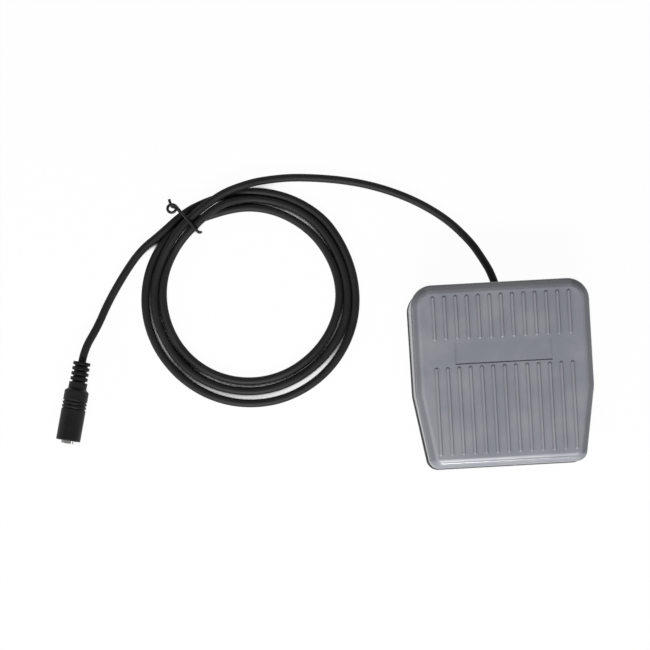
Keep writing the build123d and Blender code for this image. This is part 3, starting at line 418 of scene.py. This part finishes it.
# Angle in degrees, counted on from turn to turn, then radius and height of the strand's middle
TURNS = [
    (102, 59.8, 6.75), (110, 57.3, 6.8), (118, 56.0, 6.8), (128, 55.0, 6.8), (142, 54.0, 6.6),
    (150, 53.9, 5.2), (157, 54.2, 3.9), (170, 54.6, 2.4), (180, 54.8, 2.25), (208, 55.0, 2.25),
    (238, 55.7, 2.25), (270, 55.4, 2.25),
    (300, 54.8, 2.25), (326, 55.2, 2.25), (341, 55.9, 2.25), (356, 55.3, 2.25), (371, 54.6, 2.25),
    (386, 54.4, 2.25), (405, 55.6, 2.25), (440, 55.3, 2.25), (448, 55.2, 3.0), (458, 54.8, 5.6),
    (466, 53.4, 6.8), (476, 51.6, 6.8), (487, 49.8, 6.6), (497, 49.8, 5.2), (508, 49.9, 3.0),
    (518, 50.1, 2.25), (523, 50.1, 2.25),
    (550, 49.7, 2.25), (598, 50.0, 2.25), (642, 49.5, 2.25), (671, 49.2, 2.25), (701, 50.1, 2.25),
    (716, 50.7, 2.25), (746, 49.5, 2.25), (777, 49.3, 2.25), (807, 50.3, 2.25), (824, 50.4, 2.25),
    (836, 51.2, 2.25), (846, 53.9, 2.25), (856, 56.8, 2.25), (866, 58.4, 2.25), (883, 59.5, 2.25),
    (913, 60.6, 2.25), (943, 61.2, 2.25), (973, 62.1, 2.25), (1002, 62.3, 2.25), (1031, 61.8, 2.25),
    (1061, 60.7, 2.25), (1076, 59.9, 2.25), (1091, 59.2, 2.25), (1106, 59.1, 2.25), (1121, 60.2, 2.25),
    (1152, 59.9, 2.25), (1170, 59.7, 2.25), (1184, 59.0, 2.25), (1197, 59.6, 2.25), (1215, 61.8, 2.25),
]


def strand(angle):
    """Radius and height of the cord at an angle, straight between the table's rows."""
    for (start, radius, height), (end, next_radius, next_height) in zip(TURNS, TURNS[1:]):
        if angle <= end:
            break
    share = (angle - start) / (end - start)
    return radius + (next_radius - radius) * share, height + (next_height - height) * share


def coil_points():
    """Control points of the turns. They lie a little outside, because the curve cuts inside them."""
    spread = 4 / (3 + cos(radians(TURN_STEP)))
    count = int((TURNS[-1][0] - TURNS[0][0]) / TURN_STEP)
    points = []
    for step in range(count + 1):
        angle = TURNS[0][0] + step * TURN_STEP
        radius, height = strand(angle)
        turn = radians(angle)
        points.append((COIL_CENTRE.x + spread * radius * cos(turn),
                       COIL_CENTRE.y + spread * radius * sin(turn), height))
    return points


# %% The cord
CURVE_STEPS = 8


def wire_curve(name, points, radius, order=3, roundness=5):
    """A round wire along one open NURBS curve. Points and radius are in millimetres."""
    curve = bpy.data.curves.new(name, "CURVE")
    curve.dimensions = "3D"
    curve.bevel_depth = radius * MM
    curve.bevel_resolution = roundness
    curve.use_fill_caps = True
    spline = curve.splines.new("NURBS")
    spline.points.add(len(points) - 1)
    for control, (x, y, z) in zip(spline.points, points):
        control.co = (x * MM, y * MM, z * MM, 1.0)
    spline.order_u = order
    spline.use_endpoint_u = True
    spline.resolution_u = CURVE_STEPS
    piece = bpy.data.objects.new(name, curve)
    scene.collection.objects.link(piece)
    return piece


cord = wire_curve("cord", LEAD_ROUTE + coil_points() + TAIL_ROUTE, CORD_RADIUS)
cord.data.materials.append(FINISHES["cord_jacket"])
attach(cord, "housing")
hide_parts("cord_lead", "cord_coil", "cord_tail")
print("cord points", len(cord.data.splines[0].points))

# %% [markdown]
# ## Twist tie
# A stiff black wire holds the turns together. It lies on top of them, folds round the inner side,
# runs back underneath, and ends in a small eye outside the coil, with one end sticking out of it.
# A wire bends as evenly as a cord does, so it is one more curve, drawn from the loose end through the
# eye and over the turns. Its route is written in the tie's own directions, which is how one would
# bend it: outwards from the middle of the coil, sideways along the turns, and up. The eye is a loop
# over points of a circle that sinks a little as it goes round.

# %% The twist tie
TIE_ANGLE = radians(127.4)
TIE_RADIUS = 0.82
TIE_TOP = 9.7
TIE_FOLD = 46.3
EYE_OUT = 66.6
EYE_SIDE = 2.4
EYE_RADIUS = 2.6
EYE_START = 244
EYE_SWEEP = -320
EYE_POINTS = 12
EYE_HEIGHT = 7.2
EYE_DROP = 2.2


def tie_point(out, side, up):
    """A point of the tie, turned from its own directions to the frame's."""
    return (COIL_CENTRE.x + out * cos(TIE_ANGLE) - side * sin(TIE_ANGLE),
            COIL_CENTRE.y + out * sin(TIE_ANGLE) + side * cos(TIE_ANGLE), up)


eye = []
for step in range(EYE_POINTS):
    share = step / (EYE_POINTS - 1)
    turn = radians(EYE_START + EYE_SWEEP * share)
    eye.append(tie_point(EYE_OUT + EYE_RADIUS * cos(turn), EYE_SIDE + EYE_RADIUS * sin(turn),
                         EYE_HEIGHT - EYE_DROP * share))
spike = [tie_point(71.0, 0.4, 9.4), tie_point(69.4, 1.0, 9.1), tie_point(67.6, 1.9, 8.8),
         tie_point(66.1, 1.8, 8.3)]
over = [tie_point(65.8, -0.4, 5.4), tie_point(64.5, -0.2, 7.6), tie_point(62.0, 0.0, TIE_TOP - 0.2),
        tie_point(54.0, 0.1, TIE_TOP), tie_point(49.0, 0.0, TIE_TOP - 0.4)]
fold = [tie_point(TIE_FOLD, 0.1, 9.0), tie_point(TIE_FOLD - 0.9, -0.3, 7.6),
        tie_point(TIE_FOLD - 1.1, -1.3, 6.0), tie_point(TIE_FOLD - 0.7, -1.7, 4.0),
        tie_point(TIE_FOLD, -0.9, 1.8), tie_point(48.4, -0.3, TIE_RADIUS)]
under = [tie_point(53.0, 0.0, TIE_RADIUS), tie_point(58.0, 0.0, TIE_RADIUS),
         tie_point(63.4, 0.0, TIE_RADIUS), tie_point(64.9, 0.1, 1.6), tie_point(65.2, 0.2, 3.6)]
tie = wire_curve("twist_tie", spike + eye + over + fold + under, TIE_RADIUS, order=4, roundness=3)
tie.data.materials.append(FINISHES["tie_wire"])
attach(tie, "housing")
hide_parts("cord_tie")
print("tie points", len(tie.data.splines[0].points))

# %% [markdown]
# ## Shapes that follow a rule
# Two kinds of piece here are rules rather than drawings: the socket's moulding, whose radius depends
# on the distance from its mouth, and the return springs, whose wire climbs evenly between closed
# ends. A Geometry Nodes tree states such a rule once, with its sizes as named inputs. The class
# below makes the tree, runs it once and keeps the plain mesh, so nothing depends on a live modifier.

# %% A tree of geometry nodes
class Recipe(Sheet):
    """A Geometry Nodes tree with named number inputs."""

    def __init__(self, name, sizes):
        super().__init__(bpy.data.node_groups.new(name, "GeometryNodeTree"))
        self.sizes = sizes
        for label in sizes:
            self.tree.interface.new_socket(name=label, in_out="INPUT", socket_type="NodeSocketFloat")
        self.tree.interface.new_socket(name="Geometry", in_out="OUTPUT",
                                       socket_type="NodeSocketGeometry")
        self.entry = self.tree.nodes.new("NodeGroupInput")
        self.place = self.node("GeometryNodeInputPosition", {}, {})

    def size(self, label):
        """A named input of the tree."""
        return Term(self, self.entry.outputs[label])

    def point(self, x, y, z):
        """A vector from three numbers or terms."""
        return self.node("ShaderNodeCombineXYZ", {}, {"X": x, "Y": y, "Z": z})

    def serve(self, shape, name, slot):
        """Ends the tree, runs it once and gives back a plain mesh that rides on the housing."""
        finish = FINISHES[slot]
        whole = self.node("GeometryNodeRealizeInstances", {}, {"Geometry": shape})
        smooth = self.node("GeometryNodeSetShadeSmooth", {}, {"Geometry": whole})
        coated = self.node("GeometryNodeSetMaterial", {}, {"Geometry": smooth, "Material": finish})
        ending = self.tree.nodes.new("NodeGroupOutput")
        self.tree.links.new(coated.socket, ending.inputs[0])
        piece = bpy.data.objects.new(name, bpy.data.meshes.new(name + "_start"))
        scene.collection.objects.link(piece)
        step = piece.modifiers.new(self.tree.name, "NODES")
        step.node_group = self.tree
        for item in self.tree.interface.items_tree:
            if item.in_out == "INPUT":
                step[item.identifier] = float(self.sizes[item.name])
        ready = piece.evaluated_get(bpy.context.evaluated_depsgraph_get())
        mesh = bpy.data.meshes.new_from_object(ready)
        piece.modifiers.clear()
        piece.data = mesh
        mesh.materials.clear()
        mesh.materials.append(finish)
        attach(piece, "housing")
        print(name, "faces", len(mesh.polygons))
        return piece


# %% [markdown]
# ## Socket moulding
# The socket's body is moulded over the metal sleeve in one shot. From the mouth to the cord it has a
# straight barrel with three narrow grip grooves, a round shoulder down to a collar, and four rings
# with thin necks between them, which let the cord bend. The tree walks along the outside from the
# mouth to the cord and back through the bore, gives each step its radius, and turns a grid into
# rings of points round the axis. A transform lays the part in place, and a merge closes the seam.

# %% The socket's moulding
SOCKET_TIP = Vector((-244.0, -24.9, 6.75)) * MM
SOCKET_HEADING = radians(12)
SOCKET_ROWS = 280
SOCKET_COLUMNS = 56
SEAM_GAP = 0.01 * MM
# A share of the length that keeps a row off the edge between outside and bore
HAIR = 0.001
# Shares of a pitch over which the side of a groove and of a neck rises
GROOVE_SIDE = 0.12
NECK_SIDE = 0.05
# Sizes in millimetres, distances from the front of the sleeve
SOCKET_SIZES = {
    "Body radius": 6.75, "Front": 1.8, "Front round": 0.5, "Grip start": 19.4, "Grip pitch": 2.0,
    "Grip grooves": 3, "Grip width": 0.9, "Grip depth": 0.55, "Shoulder start": 29.4,
    "Shoulder end": 31.3, "Collar radius": 5.1, "Relief start": 34.8, "Relief pitch": 2.9,
    "Relief rings": 4, "Ring radius": 4.85, "Neck radius": 3.65, "Neck width": 1.0,
    "Sleeve radius": 4.5, "Sleeve end": 30.0, "Cord radius": 2.25,
}


def socket_outline(made, along):
    """The outer radius at a distance from the front of the sleeve."""
    size = made.size
    front = 1 - along.between(size("Front") - 0.1, size("Front") + size("Front round"))
    grips = (along - size("Grip start")) / size("Grip pitch")
    groove_share = size("Grip width") / size("Grip pitch")
    rise = (grips % 1.0).between(0, GROOVE_SIDE)
    fall = (grips % 1.0).between(groove_share - GROOVE_SIDE, groove_share)
    groove = rise * (1 - fall) * grips.above(0) * (1 - grips.above(size("Grip grooves")))
    shoulder = along.between(size("Shoulder start"), size("Shoulder end"))
    rings = (along - size("Relief start")) / size("Relief pitch")
    neck_share = size("Neck width") / size("Relief pitch")
    neck = 1 - (rings % 1.0).between(neck_share - NECK_SIDE, neck_share + NECK_SIDE)
    collar = size("Body radius") - shoulder * (size("Body radius") - size("Collar radius"))
    relief = size("Ring radius") - neck * (size("Ring radius") - size("Neck radius"))
    solid = collar - front * size("Front round") - groove * size("Grip depth")
    return solid + rings.above(0) * (relief - solid)


def socket_recipe():
    """Rows of a grid become rings: first outside, then back inside the bore."""
    made = Recipe("socket_moulding", SOCKET_SIZES)
    size = made.size
    length = size("Relief start") + size("Relief rings") * size("Relief pitch") - size("Front")
    grid = made.node("GeometryNodeMeshGrid", {}, {"Size X": 1.0, "Size Y": 1.0,
                                                  "Vertices X": SOCKET_COLUMNS + 1,
                                                  "Vertices Y": 2 * SOCKET_ROWS + 2})
    turn = (made.axis("X") + 0.5) * (2 * pi)
    walk = (made.axis("Y") + 0.5) * (2 * SOCKET_ROWS + 1) * (length / SOCKET_ROWS)
    back = made.maths("MAXIMUM", length * 2 - walk, 0.0)
    along = size("Front") + made.maths("MINIMUM", walk, back)
    inside = walk.above(length * (1 + HAIR)) * (1 - walk.above(length * (2 + HAIR)))
    bore = size("Sleeve radius") - along.above(size("Sleeve end")) * (size("Sleeve radius")
                                                                      - size("Cord radius"))
    outer = socket_outline(made, along)
    radius = outer + inside * (bore - outer)
    ring = made.point(radius * made.maths("COSINE", turn), radius * made.maths("SINE", turn), along)
    tube = made.node("GeometryNodeSetPosition", {}, {"Geometry": grid, "Position": ring})
    placed = made.node("GeometryNodeTransform", {},
                       {"Geometry": tube, "Translation": SOCKET_TIP, "Scale": (MM, MM, MM),
                        "Rotation": (-pi / 2, 0, -SOCKET_HEADING)})
    closed = made.node("GeometryNodeMergeByDistance", {}, {"Geometry": placed, "Distance": SEAM_GAP})
    return made.serve(closed, "socket_moulding", "socket_plastic")


socket = socket_recipe()
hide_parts("socket_body")

# %% [markdown]
# ## Return springs
# Two compression springs lift the treadle. Each is cold-wound from round wire, with closed ends that
# sit flat in the base and under the cover. Nodes wind the wire as a spiral, flatten the pitch near
# both ends, sweep a circle along it, and set the spring on two points. The springs shorten as the
# treadle turns.

# %% The return springs
left_low, left_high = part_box("return_spring_left")
right_low, right_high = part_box("return_spring_right")
SPRING_STEPS = 36
WIRE_SIDES = 10
SPRING_SIZES = {
    "Spring radius": 4.0 * MM, "Wire radius": 0.5 * MM, "Turns": 7.5, "Closed share": 0.13,
    "Closed climb": 0.07, "Left": (left_low[0] + left_high[0]) / 2,
    "Right": (right_low[0] + right_high[0]) / 2, "Back": (left_low[1] + left_high[1]) / 2,
    "Bottom": left_low[2], "Top": left_high[2],
}


def spring_recipe():
    """One spring round the origin, set on two points."""
    made = Recipe("return_spring", SPRING_SIZES)
    size = made.size
    wire = size("Wire radius")
    bottom = size("Bottom") + wire
    rise = size("Top") - size("Bottom") - wire * 2
    spiral = made.node("GeometryNodeCurveSpiral", {},
                       {"Resolution": SPRING_STEPS, "Rotations": size("Turns"),
                        "Start Radius": size("Spring radius"), "End Radius": size("Spring radius"),
                        "Height": 1.0})
    climbed = made.axis("Z")
    open_part = made.node("ShaderNodeMapRange", {"interpolation_type": "LINEAR"},
                          {"Value": climbed, "From Min": size("Closed share"),
                           "From Max": 1 - size("Closed share")})
    height = climbed * size("Closed climb") + open_part * (1 - size("Closed climb"))
    wound = made.node("GeometryNodeSetPosition", {},
                      {"Geometry": spiral,
                       "Position": made.point(made.axis("X"), made.axis("Y"), bottom + height * rise)})
    section = made.node("GeometryNodeCurvePrimitiveCircle", {}, {"Resolution": WIRE_SIDES,
                                                                 "Radius": wire})
    spring = made.node("GeometryNodeCurveToMesh", {}, {"Curve": wound, "Profile Curve": section,
                                                       "Fill Caps": True})
    ends = made.node("GeometryNodeMeshLine", {"mode": "END_POINTS"},
                     {"Count": 2, "Start Location": made.point(size("Left"), size("Back"), 0.0),
                      "Offset": made.point(size("Right"), size("Back"), 0.0)})
    pair = made.node("GeometryNodeInstanceOnPoints", {}, {"Points": ends, "Instance": spring})
    return made.serve(pair, "return_springs", "bright_steel")


springs = spring_recipe()
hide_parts("return_spring_left", "return_spring_right")
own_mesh(springs)

# %% [markdown]
# ## Table
# The photograph was taken on a white table that vanishes into its background. The table here is pale,
# and camera and mirror rays see most of it as plain white, so a faint shadow stays under the switch
# while the edges of the picture stay white. Light falls off between two strands of the cord, and
# plain white would hide that. So ambient occlusion finds the closed-in places, takes the white away
# there, and darkens the table's own colour, more than real light would.

# %% Rays that only look
def ray(sheet, kind):
    """1 for a ray of the kind that is named, 0 for any other."""
    return sheet.node("ShaderNodeLightPath", {}, {}, kind)


def seen_white(finish, openness, share):
    """Mixes plain white into a material where it lies open, for the rays that only look at it."""
    looking = finish.maths("MAXIMUM", ray(finish, "Is Camera Ray"), ray(finish, "Is Glossy Ray"))
    looking = finish.maths("MAXIMUM", looking, ray(finish, "Is Transmission Ray"))
    white = finish.node("ShaderNodeEmission", {}, {"Color": (1, 1, 1, 1), "Strength": 1.0})
    blend = finish.node("ShaderNodeMixShader", {},
                        {0: looking * openness * share,
                         1: Term(finish, finish.shader.outputs[0]), 2: white})
    finish.feed(finish.tree.nodes["Material Output"].inputs["Surface"], blend)


# %% Table
TABLE_SIDE = 3.0
TABLE_DROP = 0.1 * MM
AO_REACH = 6 * MM
CLOSED_IN = 0.27
OPEN = 0.42
WHITE_SHARE = 0.97
TABLE_GREYS = ((0.87, 0.87, 0.88), (0.9, 0.9, 0.9))
TRENCH = (0.03, 0.03, 0.03)

table_finish = Finish("table_white", roughness=0.6, specular=0.2)
openness = table_finish.node("ShaderNodeAmbientOcclusion", {"samples": 16},
                             {"Distance": AO_REACH}, "AO").between(CLOSED_IN, OPEN)
enamel = table_finish.mixed(table_finish.noise(6), *TABLE_GREYS)
table_finish.paint(table_finish.mixed(openness, TRENCH, enamel))
seen_white(table_finish, openness, WHITE_SHARE)
half = TABLE_SIDE / 2
table_mesh = bpy.data.meshes.new("table")
table_mesh.from_pydata([(x, y, -TABLE_DROP) for x, y in
                        ((-half, -half), (half, -half), (half, half), (-half, half))],
                       [], [(0, 1, 2, 3)])
table_mesh.materials.append(table_finish.material)
table = bpy.data.objects.new("table", table_mesh)
scene.collection.objects.link(table)
print("table", TABLE_SIDE, "m square")

# %% [markdown]
# ## Light
# The object was lit from all round, and most strongly from the front. A wide, low lamp in front
# gives most of the light here, and its reflection is the pale line on the front crest. Weaker lamps
# stand on the left, on the right and behind, and a dim sky fills the rest. One loop over a table
# sets them up, because only their numbers differ. The camera alone sees the sky as white.

# %% Lamps and sky
LAMP_AIM = Vector((-0.09, 0.03, 0.0))
# Name, place, width and height in metres, watts
LAMPS = [
    ("front_lamp", (-0.2, -0.95, 0.75), 0.9, 0.25, 19),
    ("left_lamp", (-1.3, -0.3, 0.45), 0.8, 0.2, 4),
    ("right_lamp", (1.2, 0.0, 0.6), 0.9, 0.3, 1.5),
    ("rear_lamp", (0.1, 1.2, 0.6), 0.9, 0.4, 1.5),
]
SKY_LEVEL = 0.2

for name, place, width, height, watts in LAMPS:
    light = bpy.data.lights.new(name, "AREA")
    light.shape = "RECTANGLE"
    light.size = width
    light.size_y = height
    light.energy = watts
    lamp = bpy.data.objects.new(name, light)
    lamp.location = place
    lamp.rotation_mode = "QUATERNION"
    lamp.rotation_quaternion = (LAMP_AIM - Vector(place)).to_track_quat("-Z", "Y")
    scene.collection.objects.link(lamp)

world = bpy.data.worlds.new("sky")
world.use_nodes = True
scene.world = world
sky = Sheet(world.node_tree)
backdrop = sky.tree.nodes["Background"]
backdrop.inputs["Color"].default_value = (1.0, 1.0, 1.0, 1.0)
sky.feed(backdrop.inputs["Strength"], SKY_LEVEL + ray(sky, "Is Camera Ray") * (1 - SKY_LEVEL))
